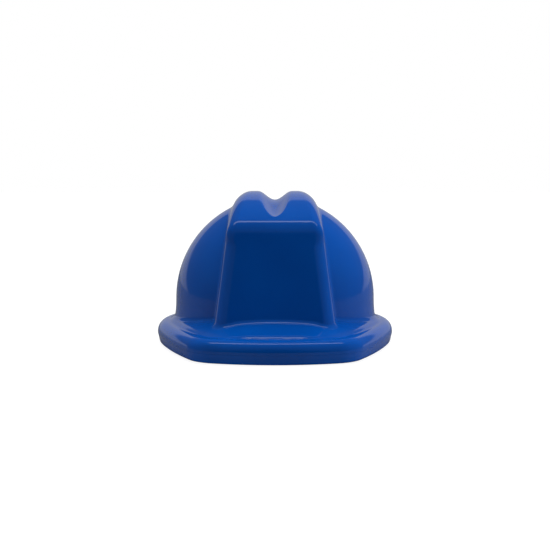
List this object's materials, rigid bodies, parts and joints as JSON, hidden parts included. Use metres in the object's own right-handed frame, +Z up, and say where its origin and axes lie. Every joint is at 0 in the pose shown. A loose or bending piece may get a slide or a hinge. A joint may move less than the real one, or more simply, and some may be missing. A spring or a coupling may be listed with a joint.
{
  "type": "hard hat",
  "caption": "Cap-style hard hat with a flat raised front panel, a two-lobed crown, a rolled brim and a ratchet-adjusted strap suspension.",
  "frame": {"origin": "centre of the bounding box in plan, on the surface that the brim ring stands on", "axes": "+Z up through the crown, -Y towards the peak (front), +Y towards the nape, +X to the right of someone who faces the front of the hat"},
  "size_m": [0.2376, 0.284, 0.1515],
  "materials": {
    "shell_plastic": "high-gloss injection-moulded blue plastic",
    "ring_plastic": "glossy moulded blue plastic, with a satin foot",
    "suspension_plastic": "satin black moulded nylon",
    "knob_plastic": "fine-textured dark grey nylon",
    "gear_plastic": "natural white acetal",
    "webbing": "woven black polyester webbing",
    "patch_fabric": "stitched navy fabric patch",
    "pad_fabric": "brushed knit over foam",
    "spring_steel": "rolled spring steel",
    "screw_steel": "zinc-plated steel"
  },
  "bodies": {
    "hat": {"shell": "shell_plastic", "brim_ring": "ring_plastic", "front_left_key": "suspension_plastic", "front_right_key": "suspension_plastic", "rear_right_key": "suspension_plastic", "rear_left_key": "suspension_plastic", "crown_strap_left": "webbing", "crown_strap_right": "webbing", "crown_patch": "patch_fabric", "headband": "suspension_plastic", "headband_studs": "suspension_plastic", "brow_pad": "pad_fabric", "left_arm_guide": "suspension_plastic", "right_arm_guide": "suspension_plastic", "ratchet_housing": "suspension_plastic", "housing_cover": "suspension_plastic", "nape_pad": "pad_fabric", "detent_ring": "gear_plastic"},
    "left_arm": {"left_rack_arm": "suspension_plastic"},
    "right_arm": {"right_rack_arm": "suspension_plastic"},
    "knob": {"adjust_knob": "knob_plastic", "pinion_gear": "gear_plastic", "detent_spring": "spring_steel", "knob_screw": "screw_steel"}
  },
  "joints": [
    {"name": "knob_turn", "type": "hinge", "parent": "hat", "child": "knob", "pos_m": [0, 0.1163, 0.02], "axis": [0, 1, 0], "range_deg": [-180, 180]},
    {"name": "left_arm_travel", "type": "hinge", "parent": "hat", "child": "left_arm", "pos_m": [0, 0.022, 0.02], "axis": [0, 0, 1], "range_deg": [-13.3, 13.3]},
    {"name": "right_arm_travel", "type": "hinge", "parent": "hat", "child": "right_arm", "pos_m": [0, 0.022, 0.02], "axis": [0, 0, 1], "range_deg": [-13.3, 13.3]}
  ],
  "couplings": [
    {"joint": "left_arm_travel", "follows": "knob_turn", "ratio": -0.072551},
    {"joint": "right_arm_travel", "follows": "knob_turn", "ratio": 0.07109}
  ]
}
